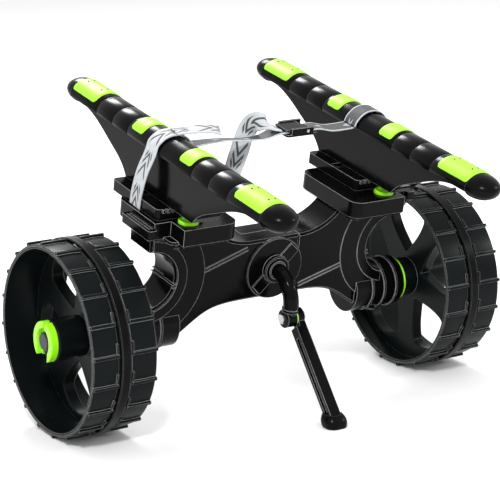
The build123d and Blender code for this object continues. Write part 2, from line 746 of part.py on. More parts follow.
def knuckle_nut():
    """Lock nut on the far end of the knuckle bolt."""
    with BuildPart() as nut:
        with BuildSketch(disc_plane(EAR_OUT + 0.3)):
            with Locations(KNUCKLE):
                RegularPolygon(HEAD_R, 6)
                Circle(BOLT_R, mode=Mode.SUBTRACT)
        extrude(amount=5)
    return nut


def knuckle_shim():
    """Bright washer between the knuckle and the leg's eye."""
    with BuildPart() as shim:
        with BuildSketch(disc_plane(KNUCKLE_OUT + 0.15)):
            with Locations(KNUCKLE):
                Circle(KNUCKLE_R - 0.5)
                Circle(BOLT_R + RUN, mode=Mode.SUBTRACT)
        extrude(amount=SHIM_T)
    return shim


def leg_plane(x):
    """Plane square to X at the knuckle, with its local -Y running down the leg."""
    return Plane(origin=(x, *KNUCKLE), x_dir=(0, cos(radians(STRUT_LEAN)), -sin(radians(STRUT_LEAN))),
                 z_dir=(1, 0, 0))


def leg_strut():
    """Folding leg with an I section and an eye for the knuckle bolt."""
    reach = STRUT_LENGTH - FOOT_H * 0.7
    start = KNUCKLE_R + 3.0
    with BuildPart() as strut:
        with BuildSketch(leg_plane(EAR_IN)):
            Circle(KNUCKLE_R - 0.5)
            with Locations((0, -start / 2 - 4)):
                Rectangle(STRUT_D, start + 8)
        extrude(amount=EAR_OUT - EAR_IN)
        with BuildSketch(leg_plane(EAR_OUT - STRUT_W)):
            with Locations((0, -(start + reach) / 2)):
                Rectangle(STRUT_D, reach - start)
        extrude(amount=STRUT_W)
        for x in (EAR_OUT - STRUT_W, EAR_OUT - GROOVE_DEPTH):
            with BuildSketch(leg_plane(x)):
                with Locations((0, -(start + reach) / 2 - 4)):
                    Rectangle(GROOVE_W, reach - start - 22)
            extrude(amount=GROOVE_DEPTH, mode=Mode.SUBTRACT)
        with BuildSketch(leg_plane(EAR_IN - 1)):
            Circle(BOLT_R + RUN)
        extrude(amount=20, mode=Mode.SUBTRACT)
        with BuildSketch(Plane.XY.offset(-WHEEL_R - 20)):
            with Locations((0, KNUCKLE[0] - 100)):
                Rectangle(120, 240)
        extrude(amount=20 + FOOT_WALL, mode=Mode.SUBTRACT)
    return strut


def leg_foot(strut_part):
    """Rubber foot with a flat sole, pushed over the end of the leg."""
    foot_x = EAR_OUT - STRUT_W / 2
    with BuildPart() as foot:
        with BuildSketch(Plane.XY.offset(-WHEEL_R)):
            with Locations((foot_x, FOOT_MIDDLE)):
                RectangleRounded(FOOT_W - 3, FOOT_D - 3, 11)
        with BuildSketch(Plane.XY.offset(-WHEEL_R + 5)):
            with Locations((foot_x, FOOT_MIDDLE + 1)):
                RectangleRounded(FOOT_W, FOOT_D, 12)
        with BuildSketch(Plane.XY.offset(-WHEEL_R + FOOT_H)):
            with Locations((foot_x, FOOT_MIDDLE + 5)):
                RectangleRounded(FOOT_W - 9, FOOT_D - 6, 9)
        loft()
        add(strut_part, mode=Mode.SUBTRACT)
    return foot


# ---------------------------------------------------------------- strap and buckle
def ribbon(points, y_middle, width=WEB_W):
    """Flat webbing whose middle follows points in the front view, square across."""
    with BuildPart() as web:
        with BuildSketch(slab(y_middle + width / 2)):
            with BuildLine():
                Spline(*points)
            trace(line_width=WEB_T)
        extrude(amount=width)
    return web


def over_pad():
    """Route of the webbing from the plate's outer edge over the pad to its inner side."""
    lift = SOFT + WEB_T / 2
    side = PAD_HALF + lift + 1
    return [(PLATE_OUT + lift, TABLE_TOP + SOFT), (PLATE_OUT + lift - 3, 200),
            (PAD_X + side, CAP_Z), (PAD_X + side * 0.71, CAP_Z + (CAP_H + lift + 1) * 0.71),
            (PAD_X, CROWN + lift), (PAD_X - side * 0.71, CAP_Z + (CAP_H + lift + 1) * 0.71),
            (PAD_X - side, CAP_Z + 1)]


def strap_loop():
    """Webbing over one pad."""
    return ribbon(over_pad(), WEB_Y)


def strap_span(side):
    """Webbing from one pad's inner side to the buckle in the middle."""
    pad_end = side * (PAD_X - PAD_HALF - 5)
    buckle_end = BUCKLE_X + side * (BUCKLE_L / 2 + 1)
    middle = (pad_end + buckle_end) / 2
    return ribbon([(pad_end, CAP_Z + 2), (middle, SPAN_Z - 3), (buckle_end, SPAN_Z + 3)][::-side],
                  WEB_Y)


def strap_tail():
    """Free end of the webbing, standing up off the left pad."""
    return ribbon([(-PAD_X + 52, CROWN + 12), (-PAD_X + 26, CROWN + 10),
                   (-PAD_X + 2, CROWN + WEB_T + 2 * SOFT + 1.5)], WEB_Y)


def strap_end():
    """Spare webbing that hangs from the span down to the frame's arm."""
    return ribbon([(-16, SPAN_Z - 6), (-34, 196), (-52, 152), (-66, CENTRE_TOP + 9)], WEB_Y + 14)


def buckle_body():
    """Cast frame of the cam buckle, hung in the middle of the strap."""
    with BuildPart() as body:
        with BuildSketch(Plane.XY.offset(BUCKLE_Z)):
            with Locations((BUCKLE_X, WEB_Y)):
                RectangleRounded(BUCKLE_L, BUCKLE_W, 4)
        extrude(amount=BUCKLE_WALL)
        with BuildSketch(Plane.XY.offset(BUCKLE_Z)):
            with Locations((BUCKLE_X, WEB_Y - BUCKLE_W / 2 + BUCKLE_WALL / 2),
                           (BUCKLE_X, WEB_Y + BUCKLE_W / 2 - BUCKLE_WALL / 2)):
                Rectangle(BUCKLE_L - 14, BUCKLE_WALL)
        extrude(amount=BUCKLE_T)
        with BuildSketch(slab(WEB_Y + BUCKLE_W)):
            with Locations((BUCKLE_X + LEVER_OFFSET, LEVER_Z)):
                Circle(PIN_R)
        extrude(amount=2 * BUCKLE_W, mode=Mode.SUBTRACT)
    return body


def buckle_pin():
    """Pin of the cam lever."""
    with BuildPart() as pin:
        with BuildSketch(slab(WEB_Y + BUCKLE_W / 2 + 1)):
            with Locations((BUCKLE_X + LEVER_OFFSET, LEVER_Z)):
                Circle(PIN_R)
        extrude(amount=BUCKLE_W + 2)
    return pin


def buckle_lever():
    """Cam lever that grips the webbing; its long end lies along the buckle."""
    width = BUCKLE_W - 2 * BUCKLE_WALL - 1
    with BuildPart() as lever:
        with BuildSketch(slab(WEB_Y + width / 2)):
            with Locations((BUCKLE_X + LEVER_OFFSET, LEVER_Z)):
                Circle(PIN_R + 1.4)
            with Locations((BUCKLE_X - LEVER_OFFSET, LEVER_Z + 1.5)):
                Rectangle(4 * LEVER_OFFSET, 2.6)
            with Locations((BUCKLE_X + LEVER_OFFSET, LEVER_Z)):
                Circle(PIN_R + RUN, mode=Mode.SUBTRACT)
        extrude(amount=width)
    return lever


# ---------------------------------------------------------------- build every piece
strut = leg_strut()
pair(wheel_rim, "wheel_rim", GROUND)
pair(wheel_disc, "wheel_disc", GROUND, ROLLED_ON)
pair(hub_bush, "hub_bush", GROUND)
pair(tread, "wheel_tread", GROUND, ROLLED_ON * Location((0, 0, 0), (2 * BAR_LAG, 0, 0)))
pair(centre_band, "tread_band", GROUND)
pair(wheel_clip, "wheel_clip", LEANT)
pair(axle_stub, "axle_stub", LEANT)
pair(axle_washer, "axle_washer", LEANT)
finish(frame_half(), "frame_right", LEANT)
finish(frame_half(), "frame_left", LEANT, turned=HALF_TURN)
finish(boss_plate(), "boss_plate", LEANT)
finish(back_plate(), "back_plate", LEANT)
pair(pad_table, "pad_table", LEANT)
pair(strap_block, "strap_block", LEANT)
pair(table_screws, "table_screws", LEANT)
pair(strap_plate, "strap_plate", LEANT)
pair(release_button, "release_button", LEANT)
pair(pad_keel, "pad_keel", LEANT)
pair(pad_cap, "pad_cap", LEANT)
pair(pad_grips, "pad_grips", LEANT)
pair(pad_noses, "pad_noses", LEANT)
finish(leg_elbow(), "leg_elbow", LEANT)
finish(knuckle_bolt(), "knuckle_bolt", GROUND)
finish(knuckle_nut(), "knuckle_nut", GROUND)
finish(knuckle_shim(), "knuckle_shim", GROUND)
finish(leg_foot(strut.part), "leg_foot", GROUND)
finish(strut, "leg_strut", GROUND)
pair(strap_loop, "strap_loop", LEANT)
finish(strap_span(1), "strap_span_right", LEANT)
finish(strap_span(-1), "strap_span_left", LEANT)
finish(strap_tail(), "strap_tail", LEANT)
finish(strap_end(), "strap_end", LEANT)
finish(buckle_body(), "buckle_body", LEANT)
finish(buckle_pin(), "buckle_pin", LEANT)
finish(buckle_lever(), "buckle_lever", LEANT)
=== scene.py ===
# %% [markdown]
# # A kayak cart, dressed around its engineering model
# The engineering model already has every rigid part at its real size and place. This lesson adds
# what a mechanical model leaves out: moulded tread, soft rail pads, woven strap, and finishes with
# grain and gloss. Nothing here moves or resizes a mechanical part, so every place is read from it.

# %% Load the frame
import json
from math import atan2, cos, degrees, pi, radians, sin, sqrt
import bmesh
import bpy
from mathutils import Matrix, Vector


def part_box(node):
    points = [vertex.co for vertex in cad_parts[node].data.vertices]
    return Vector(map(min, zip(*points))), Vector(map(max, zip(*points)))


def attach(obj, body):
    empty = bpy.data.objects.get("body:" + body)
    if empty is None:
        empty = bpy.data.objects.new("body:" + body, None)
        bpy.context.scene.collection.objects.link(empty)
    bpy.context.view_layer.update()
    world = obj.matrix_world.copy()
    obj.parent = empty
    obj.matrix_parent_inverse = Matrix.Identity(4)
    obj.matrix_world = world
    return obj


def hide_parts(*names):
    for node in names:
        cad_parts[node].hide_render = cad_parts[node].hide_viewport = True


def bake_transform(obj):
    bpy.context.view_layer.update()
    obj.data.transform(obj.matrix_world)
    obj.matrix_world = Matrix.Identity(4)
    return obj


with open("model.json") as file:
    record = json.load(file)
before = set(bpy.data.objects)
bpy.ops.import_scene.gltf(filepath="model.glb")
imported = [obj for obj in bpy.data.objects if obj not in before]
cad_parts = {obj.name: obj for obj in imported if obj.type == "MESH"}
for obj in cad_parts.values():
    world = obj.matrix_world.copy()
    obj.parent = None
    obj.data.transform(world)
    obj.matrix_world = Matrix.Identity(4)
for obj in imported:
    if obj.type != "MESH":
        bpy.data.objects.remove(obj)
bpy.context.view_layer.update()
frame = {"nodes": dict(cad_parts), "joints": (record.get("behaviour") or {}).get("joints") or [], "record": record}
nodes = frame["nodes"]
MM = 0.001

# %% [markdown]
# ## Places worked out from the frame
# The axle is the centre of a wheel's band. Everything the frame carries leans forwards by a few
# degrees, and a wheel clip slides straight up out of that leaning frame, so the direction of its
# joint gives the lean. Pieces are then drawn level in millimetres, as in a workshop drawing, and
# one matrix puts them in place.

# %% Axle, lean and a helper that turns level measures into places
band_low, band_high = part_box("tread_band_right")
AXLE = Vector((0, (band_low.y + band_high.y) / 2, (band_low.z + band_high.z) / 2))
WHEEL_R = (band_high.z - band_low.z) / 2 / MM
clip_slide = next(j for j in frame["joints"] if j["name"] == "clip_right_slide")
LEAN = atan2(-clip_slide["axis"][1], clip_slide["axis"][2])
LEANT = Matrix.Translation(AXLE) @ Matrix.Rotation(LEAN, 4, "X") @ Matrix.Scale(MM, 4)
GROUND = Matrix.Translation(AXLE) @ Matrix.Scale(MM, 4)
SIDES = {"right": 1, "left": -1}
print("axle", [round(v, 4) for v in AXLE], "lean", round(degrees(LEAN), 2), "degrees")

# %% [markdown]
# ## Camera, floor and light
# A cart this size is shown from its front left corner, a little above the wheels, with a long
# lens so that parallel edges stay nearly parallel. White studio: pale floor, broad soft light.

# %% Camera
AZIMUTH, ELEVATION, DISTANCE, LENS = radians(-33.38), radians(14.56), 2.558, 137.74
LOOK_AT = AXLE + Vector((-0.0053, 0.0094, 0.0719))
toward = Vector((sin(AZIMUTH) * cos(ELEVATION), -cos(AZIMUTH) * cos(ELEVATION), sin(ELEVATION)))
camera = bpy.data.objects.new("camera", bpy.data.cameras.new("camera"))
camera.data.lens, camera.data.sensor_width = LENS, 36
camera.location = LOOK_AT + toward * DISTANCE
camera.rotation_euler = (-toward).to_track_quat("-Z", "Y").to_euler()
bpy.context.scene.collection.objects.link(camera)
bpy.context.scene.camera = camera
print("camera", [round(v, 3) for v in camera.location])


# %% [markdown]
# ## Shader maths as expressions
# A material is a small program. Wrapping a node's output in a class with operators lets a mix of
# noise and masks be written the way it is said: `rough = 0.3 + 0.2 * grain`.

# %% The socket class and the one method that makes nodes
class Value:
    """One output of a shader node; arithmetic on it adds Math nodes to its tree."""

    def __init__(self, shader, socket):
        self.shader, self.socket = shader, socket

    def maths(self, operation, *others):
        return self.shader.node("ShaderNodeMath", {"operation": operation}, [self, *others])

    def __add__(self, other): return self.maths("ADD", other)
    def __radd__(self, other): return self.maths("ADD", other)
    def __sub__(self, other): return self.maths("SUBTRACT", other)
    def __rsub__(self, other): return (self * -1.0).maths("ADD", other)
    def __mul__(self, other): return self.maths("MULTIPLY", other)
    def __rmul__(self, other): return self.maths("MULTIPLY", other)
    def __gt__(self, other): return self.maths("GREATER_THAN", other)
    def __lt__(self, other): return self.maths("LESS_THAN", other)
    def __mod__(self, other): return self.maths("FLOORED_MODULO", other)
    def __abs__(self): return self.maths("ABSOLUTE")
    def sine(self): return self.maths("SINE")
    def clamp(self, low=0.0, high=1.0): return self.maths("MAXIMUM", low).maths("MINIMUM", high)


class Shader:
    def __init__(self, name):
        self.material = bpy.data.materials.new(name)
        self.material.use_nodes = True
        self.tree = self.material.node_tree
        self.surface = self.tree.nodes["Principled BSDF"]

    def node(self, kind, settings=(), inputs=(), output=0):
        made = self.tree.nodes.new(kind)
        for key, value in dict(settings).items():
            setattr(made, key, value)
        pairs = inputs.items() if isinstance(inputs, dict) else enumerate(inputs)
        for key, value in pairs:
            self.plug(made.inputs[key], value)
        return Value(self, made.outputs[output])

    def plug(self, socket, value):
        if isinstance(value, Value):
            self.tree.links.new(value.socket, socket)
        else:
            socket.default_value = value

    def place(self):
        return self.node("ShaderNodeTexCoord", output="Object")

    def noise(self, scale, detail=2.0, roughness=0.5, where=None):
        return self.node("ShaderNodeTexNoise", {}, {"Vector": where or self.place(), "Scale": scale,
                                                    "Detail": detail, "Roughness": roughness})

    def mix(self, factor, first, second):
        colours = [(*c, 1) if isinstance(c, tuple) else c for c in (first, second)]
        return self.node("ShaderNodeMix", {"data_type": "RGBA"},
                         {0: factor, 6: colours[0], 7: colours[1]}, output=2)

    def bump(self, height, distance, strength, normal=None):
        inputs = {"Height": height, "Distance": distance, "Strength": strength}
        if normal is not None:
            inputs["Normal"] = normal
        return self.node("ShaderNodeBump", {}, inputs)

    def finish(self, **values):
        for key, value in values.items():
            self.plug(self.surface.inputs[key.replace("_", " ")], value)
        return self.material


# %% [markdown]
# ## Moulded black plastic
# Injection-moulded nylon is never one flat black. The gloss wanders where the mould was polished
# by hand, dust and handling dull it in patches, and every edge has a tiny radius that catches the
# light. A Bevel node gives the radius; comparing its normal with the face's own normal finds the
# edges, whose colour is made a little lighter as a painted highlight along every edge.

# %% A function for black plastics of different gloss
def black_plastic(name, tint, gloss, patchy, grain, radius, edge_glint=0.16):
    """Black moulding: gloss is the base roughness, patchy its wander, grain the size of texture."""
    s = Shader(name)
    soft = s.node("ShaderNodeBevel", {"samples": 6}, {"Radius": radius})
    flat = s.node("ShaderNodeNewGeometry", output="Normal")
    facing = s.node("ShaderNodeVectorMath", {"operation": "DOT_PRODUCT"}, [soft, flat], output=1)
    edge = ((1 - facing) * 9.0).clamp()
    haze = s.noise(9.0, 4.0, 0.6)
    speck = s.noise(grain, 2.0, 0.55)
    # painted highlight: the colour along every edge is lifted lighter, standing in for light caught by the edge
    # radius
    glint_tint = tuple(min(1.0, c + edge_glint) for c in tint)
    colour = s.mix((edge * (0.35 + 0.65 * speck)).clamp(), tint, glint_tint)
    rough = gloss + patchy * (haze - 0.5) + 0.06 * (speck - 0.5)
    return s.finish(Base_Color=colour, Roughness=rough.clamp(0.04, 0.95), Specular_IOR_Level=0.08,
                    Normal=s.bump(speck, 0.00006, 0.6, normal=soft))


GLOSS_BLACK = black_plastic("gloss_black_moulding", (0.002, 0.002, 0.0023), 0.14, 0.16, 900,
                            0.0010, 0.60)
SATIN_BLACK = black_plastic("satin_black_wheel", (0.0035, 0.005, 0.0054), 0.3, 0.24, 500, 0.0008,
                            0.42)
PAD_BLACK = black_plastic("soft_black_rubber", (0.002, 0.002, 0.0023), 0.22, 0.12, 1300, 0.0007,
                          0.22)
print("black plastics made")


# %% [markdown]
# ## Lime rubber and lime plastic
# The bright parts are dyed right through. The rubber grips are satin with a fine pebble, and the
# hard clips are glossier. Both are a little paler where they are handled.

# %% Lime finishes and metal
def lime(name, gloss, grain, height):
    """Bright yellow-green moulding."""
    s = Shader(name)
    cloud = s.noise(14.0, 3.0)
    pebble = s.noise(grain, 2.0)
    colour = s.mix(cloud, (0.30, 0.86, 0.010), (0.37, 1.0, 0.022))
    rough = gloss + 0.12 * (cloud - 0.5)
    return s.finish(Base_Color=colour, Roughness=rough, Normal=s.bump(pebble, height, 0.5))


def metal(name, tint, gloss):
    """Plated steel, brushed round by turning."""
    s = Shader(name)
    marks = s.noise(260.0, 4.0, 0.7)
    return s.finish(Base_Color=s.mix(marks, tint, tuple(0.75 * c for c in tint)),
                    Roughness=gloss + 0.15 * (marks - 0.5), Metallic=1.0)


LIME_RUBBER = lime("lime_rubber", 0.45, 1600.0, 0.00008)
LIME_PLASTIC = lime("lime_plastic", 0.28, 900.0, 0.00003)
PLATED = metal("plated_steel", (0.62, 0.62, 0.64), 0.28)
BLACK_METAL = metal("black_coated_steel", (0.05, 0.05, 0.055), 0.32)

# %% [markdown]
# ## Woven strap
# The strap is white polyester webbing, 25 mm wide, with a printed black pattern. The weave is a
# herringbone: two sets of waves across the strap that meet in the middle. Its own UV map runs in
# strap widths, so the weave bends with the strap. One face is pale with a plain row of bars and
# chevrons, and the other is woven dark between two pale edges.

# %% Webbing
def webbing_finish(name, dark_face):
    """Webbing: herringbone weave, pattern and wear; the dark face keeps only its pale edges."""
    s = Shader(name)
    uv = s.node("ShaderNodeUVMap", {"uv_map": "strap"})
    split = s.node("ShaderNodeSeparateXYZ", {}, [uv])
    u, v = split, Value(s, split.socket.node.outputs[1])
    off_centre = abs(u - 0.5)
    rib = (v * 78.0 + off_centre * 50.0).sine()
    cross = (u * 150.0).sine()
    weave = 0.5 + 0.3 * rib + 0.2 * cross
    block = (v + 2.2 * off_centre) % 1.9
    chevron = (block > 0.35) * (block < 0.62) * (off_centre < 0.33)
    bar = (block > 0.95) * (block < 1.22) * (off_centre < 0.3)
    ring = (block > 1.35) * (block < 1.6) * (off_centre < 0.3) * (1 - (off_centre < 0.14))
    if dark_face:
        print_mask = (off_centre < 0.43) * (1 - 0.8 * chevron * (off_centre < 0.14))
    else:
        print_mask = (chevron + bar + ring).clamp()
    worn = s.noise(4.0, 4.0, 0.6, where=uv)
    yarn = s.mix(worn, (0.46, 0.49, 0.52), (0.86, 0.88, 0.90))
    shaded = s.mix((0.55 * weave).clamp(), s.mix(0.5, yarn, (0.2, 0.22, 0.24)), yarn)
    colour = s.mix((print_mask * (0.82 + 0.18 * worn)).clamp(), shaded, (0.012, 0.012, 0.014))
    return s.finish(Base_Color=colour, Roughness=0.62 + 0.2 * (worn - 0.5),
                    Sheen_Weight=0.0 if dark_face else 0.15,
                    Normal=s.bump(weave, 0.00025, 0.7))


WEBBING = webbing_finish("printed_webbing", False)
WEBBING_DARK = webbing_finish("printed_webbing_dark_face", True)
print("webbing made")

# %% [markdown]
# ## Finishes on the mechanical parts
# Each part in the record names a material slot. A finish is put on every part by that slot, so a
# part whose shape is already right needs nothing else.

# %% Give every mechanical part its finish
FINISHES = {
    "frame_plastic": GLOSS_BLACK, "wheel_plastic": SATIN_BLACK, "black_rubber": PAD_BLACK,
    "lime_rubber": LIME_RUBBER, "lime_plastic": LIME_PLASTIC, "black_metal": BLACK_METAL,
    "steel": PLATED, "bush_plastic": SATIN_BLACK, "webbing": WEBBING}
slot_of = {part["node"]: part["material_slot"] for part in frame["record"]["subparts"]}
for name, node in nodes.items():
    node.data.materials.clear()
    node.data.materials.append(FINISHES[slot_of[name]])
print("finishes set on", len(nodes), "parts")


# %% [markdown]
# ## Making pieces
# Every new piece starts as a bmesh drawn in millimetres, then one matrix carries it to its place.
# A finished piece's object stays at the origin, like the mechanical parts, so a pattern that
# reads object coordinates keeps its scale.

# %% A piece from a bmesh
def piece(name, bm, place, finish, body, stands_for=()):
    """Turn a bmesh into a placed object with a finish, riding a body and hiding parts."""
    bm.transform(place)
    if place.determinant() < 0:
        bmesh.ops.reverse_faces(bm, faces=bm.faces)
    for face in bm.faces:
        face.smooth = True
    for edge in bm.edges:
        edge.smooth = not edge.is_manifold or edge.calc_face_angle() < radians(38)
    mesh = bpy.data.meshes.new(name)
    bm.to_mesh(mesh)
    bm.free()
    made = bpy.data.objects.new(name, mesh)
    mesh.materials.append(finish)
    bpy.context.scene.collection.objects.link(made)
    if body:
        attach(made, body)
    if stands_for:
        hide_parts(*stands_for)
    return made


def add_wall(made, thickness, offset):
    """Give an open surface a wall, in metres; offset -1 grows it inwards, 0 both ways."""
    wall = made.modifiers.new("solidify", "SOLIDIFY")
    wall.thickness, wall.offset = thickness, offset


def mirrored(side):
    """Matrix that flips a right-hand piece to the given side."""
    return Matrix.Diagonal((side, 1, 1, 1))


# %% [markdown]
# ## Tread
# Each wheel carries two rows of twenty bars with a plain band between them. A real bar isn't a
# block: it is a low rib with rounded edges whose inner end turns a corner and runs a little way
# along the band, and the panels between bars are gently crowned. One bar is drawn from a cube
# by bevelling, and bmesh's spin with duplicates sets twenty of them round the axle.

# %% One row's bar, and the sleeve under it
BAND_W, WHEEL_W, INNER, DRUM_R = 13.0, 89.0, 228.8, 120.6
ROW_W = (WHEEL_W - BAND_W) / 2 - 3
BAR_COUNT, BAR_W, BAR_LAG, LEFT_TURN = 20, 4.4, 6.0, 44.5


def block(bm, size, middle, round_by):
    """A cube of the given size with its edges rounded."""
    verts = bmesh.ops.create_cube(bm, size=1)["verts"]
    bmesh.ops.scale(bm, vec=size, verts=verts)
    bmesh.ops.translate(bm, vec=middle, verts=verts)
    edges = list({edge for vert in verts for edge in vert.link_edges})
    bmesh.ops.bevel(bm, geom=edges, offset=round_by, segments=2, affect="EDGES", profile=0.5,
                    material=-1)


def tread(side_name, side):
    """Crowned sleeve with two rows of hooked bars."""
    bm = bmesh.new()
    low, high = DRUM_R + 0.6, WHEEL_R
    for start, hook in ((INNER, 1), (INNER + WHEEL_W - ROW_W, -1)):
        middle = start + ROW_W / 2
        block(bm, (ROW_W, BAR_W, high - low), (middle, 0, (low + high) / 2), 1.0)
        end = start + ROW_W / 2 + hook * (ROW_W / 2 - 1.3)
        block(bm, (2.6, 17, high - low - 1.6), (end, 7, (low + high) / 2 - 0.8), 0.8)
    bars = bm.verts[:] + bm.edges[:] + bm.faces[:]
    bmesh.ops.spin(bm, geom=bars, axis=(1, 0, 0), cent=(0, 0, 0), angle=2 * pi * (BAR_COUNT - 1) / BAR_COUNT,
                   steps=BAR_COUNT - 1, use_duplicate=True)
    profile = [(0, 0), (0, 1.6), (0.9, 2.4), (ROW_W / 2, 3.0), (ROW_W, 2.3), (ROW_W, 1.2),
               (WHEEL_W / 2, 1.0)]
    points = [(INNER + x, DRUM_R - 0.1 + h) for x, h in profile]
    points += [(2 * INNER + WHEEL_W - x, r) for x, r in reversed(points[:-1])]
    ring = [bm.verts.new((x, 0, r)) for x, r in points]
    line = [bm.edges.new(pair) for pair in zip(ring, ring[1:] + ring[:1])]
    bmesh.ops.spin(bm, geom=ring + line, axis=(1, 0, 0), cent=(0, 0, 0), angle=2 * pi, steps=120,
                   use_merge=True, use_duplicate=False)
    bmesh.ops.remove_doubles(bm, verts=bm.verts, dist=0.001)
    bmesh.ops.recalc_face_normals(bm, faces=bm.faces)
    turn = radians(-90 - BAR_LAG if side > 0 else -90 + BAR_LAG + LEFT_TURN)
    place = GROUND @ mirrored(side) @ Matrix.Rotation(turn, 4, "X")
    made = piece("tread_" + side_name, bm, place, SATIN_BLACK,
                 "wheel_" + side_name, ["wheel_tread_" + side_name])
    return made


for side_name, side in SIDES.items():
    print(tread(side_name, side).name)

# %% [markdown]
# ## Rail pads
# The boat rests on two long rubber rails. A rail is a half round a little fuller than a half
# circle, jointed by shallow seams, with a ball-shaped nose at each end. A circle is flattened
# below and extruded ring by ring: a ring at a seam is drawn in, so the seam is real geometry.
# The pads are firm moulded rubber, so they are drawn full and not blown up by simulation.

# %% Rail and noses
PAD_X, CAP_Z, CAP_H, PAD_HALF, CAP_END, NOSE_END = 153.0, 234.0, 21.0, 24.0, 233.0, 262.0
SEAMS = (79.0, 118.0, 160.0)
NOSE_HIGH, NOSE_STEPS = 16.0, 14


def rings(bm, stations, segments=48, flat=0.16):
    """Extrude a flattened circle through (y, half width, height, middle z) stations."""
    made = bmesh.ops.create_circle(bm, segments=segments, radius=1, cap_ends=False)
    verts = made["verts"]
    bmesh.ops.rotate(bm, verts=verts, cent=(0, 0, 0), matrix=Matrix.Rotation(pi / 2, 3, "X"))
    shape = {vert: vert.co.copy() for vert in verts}
    edges = list({edge for vert in verts for edge in vert.link_edges})

    def fit(station):
        y, half, height, z = station
        for vert, unit in shape.items():
            lift = unit.z * (height if unit.z > 0 else height * flat)
            vert.co = (unit.x * half, y, z + lift)

    fit(stations[0])
    first = edges
    for station in stations[1:]:
        out = bmesh.ops.extrude_edge_only(bm, edges=edges)["geom"]
        new = [item for item in out if isinstance(item, bmesh.types.BMVert)]
        edges = [item for item in out if isinstance(item, bmesh.types.BMEdge)]
        moved = {}
        for vert in new:
            near = min(shape, key=lambda old: (old.co - vert.co).length_squared)
            moved[vert] = shape[near]
        shape = moved
        fit(station)
    bmesh.ops.holes_fill(bm, edges=first + edges, sides=0)
    bmesh.ops.recalc_face_normals(bm, faces=bm.faces)
    return bm


def rail_stations():
    """The rail's rings: one half from the middle outwards, and the same the other way."""
    half = [(0.0, 1.0), (30.0, 1.0)]
    for seam in SEAMS:
        half += [(seam - 2.2, 1.0), (seam - 0.7, 0.975), (seam, 0.955), (seam + 0.7, 0.975),
                 (seam + 2.2, 1.0)]
    half += [(200.0, 1.0), (CAP_END - 1.5, 1.0), (CAP_END, 0.94)]
    whole = [(-y, k) for y, k in reversed(half[1:])] + half
    return [(y, PAD_HALF * k, CAP_H * k, CAP_Z) for y, k in whole]


def nose_stations():
    """A ball that drops below the rail, from its seat outwards."""
    out = []
    for index in range(NOSE_STEPS + 1):
        along = index / NOSE_STEPS
        swell = sqrt(max(0.0, 1 - along ** 2.3)) if along < 1 else 0.02
        out.append((CAP_END - 2 + (NOSE_END - CAP_END + 2) * along,
                    PAD_HALF * 0.985 * swell, NOSE_HIGH * swell, CAP_Z + CAP_H - NOSE_HIGH - 0.4))
    return out


for side_name, side in SIDES.items():
    place = LEANT @ Matrix.Translation((side * PAD_X, 0, 0))
    body = "pad_" + side_name
    rail = piece("rail_pad_" + side_name, rings(bmesh.new(), rail_stations()), place, PAD_BLACK,
                 body, ["pad_cap_" + side_name])
    noses = rings(bmesh.new(), nose_stations(), flat=1.0)
    bmesh.ops.mirror(noses, geom=noses.verts[:] + noses.edges[:] + noses.faces[:], axis="Y",
                     matrix=Matrix.Identity(4), merge_dist=-1)
    bmesh.ops.recalc_face_normals(noses, faces=noses.faces)
    nose = piece("rail_noses_" + side_name, noses, place, PAD_BLACK, body,
                 ["pad_noses_" + side_name])
    print("rail", side_name)

# %% [markdown]
# ## Lime grips
# Four bright rubber patches sit in each rail. A patch is a strip bent over the crown, with round
# corners and a rim that rolls over, and the two long ones have two pairs of dark pin marks. A grid is
# drawn in at its corners, bent onto the rail and given a wall.

# %% Grips
GRIP_SPANS = ((45.0, 73.0), (170.0, 231.0))
GRIP_REACH = radians(62)
GRIP_CORNER, GRIP_PROUD, GRIP_WALL = 5.0, 1.5, 0.0016


def grip(bm, start, end, dots):
    """One patch from y start to y end, bent round the crown of the rail."""
    half = (end - start) / 2
    grid = bmesh.ops.create_grid(bm, x_segments=24, y_segments=24, size=1.0)["verts"]
    for vert in grid:
        u, v = vert.co.x, vert.co.y
        over_v = max(0.0, abs(v) - (1 - GRIP_CORNER / half))
        bend = sqrt(max(0.0, 1 - (over_v * half / GRIP_CORNER) ** 2))
        u_edge = 1 - GRIP_CORNER / (PAD_HALF * GRIP_REACH) * (1 - bend)
        angle = u * u_edge * GRIP_REACH
        roll = max(abs(u), abs(v)) ** 14
        lift = GRIP_PROUD - 0.9 * roll
        vert.co = ((PAD_HALF + lift) * sin(angle), start + half + v * half,
                   CAP_Z + (CAP_H + lift) * cos(angle))
    for y in dots:
        for x in (-4.5, 4.5):
            pin = bmesh.ops.create_cone(bm, cap_ends=True, segments=12, radius1=1.3, radius2=1.1,
                                        depth=0.8)["verts"]
            for face in {face for vert in pin for face in vert.link_faces}:
                face.material_index = 1
            bmesh.ops.translate(bm, vec=(x, y, CAP_Z + CAP_H * cos(x / PAD_HALF) + 1.9), verts=pin)
    return bm


for side_name, side in SIDES.items():
    place = LEANT @ Matrix.Translation((side * PAD_X, 0, 0))
    bm = bmesh.new()
    for end in (-1, 1):
        for start, stop in GRIP_SPANS:
            dots = (end * (start + 13), end * (stop - 12)) if stop > 200 else ()
            grip(bm, *sorted((end * start, end * stop)), dots)
    bmesh.ops.recalc_face_normals(bm, faces=bm.faces)
    patches = piece("lime_grips_" + side_name, bm, place, LIME_RUBBER,
                    "pad_" + side_name, ["pad_grips_" + side_name])
    patches.data.materials.append(PAD_BLACK)
    add_wall(patches, GRIP_WALL, -1.0)
    print("grips", side_name)

# %% [markdown]
# ## Strap
# The strap is six lengths made one way: a flat grid laid along a smooth route. Each route is a
# few points in the leaning frame, with the turn of the strap about its own line at each, so it
# can slant, sag and twist. A thin Solidify gives it two faces and an edge.

# %% A strap along a route
STRAP_W, STRAP_T = 25.0, 0.0016


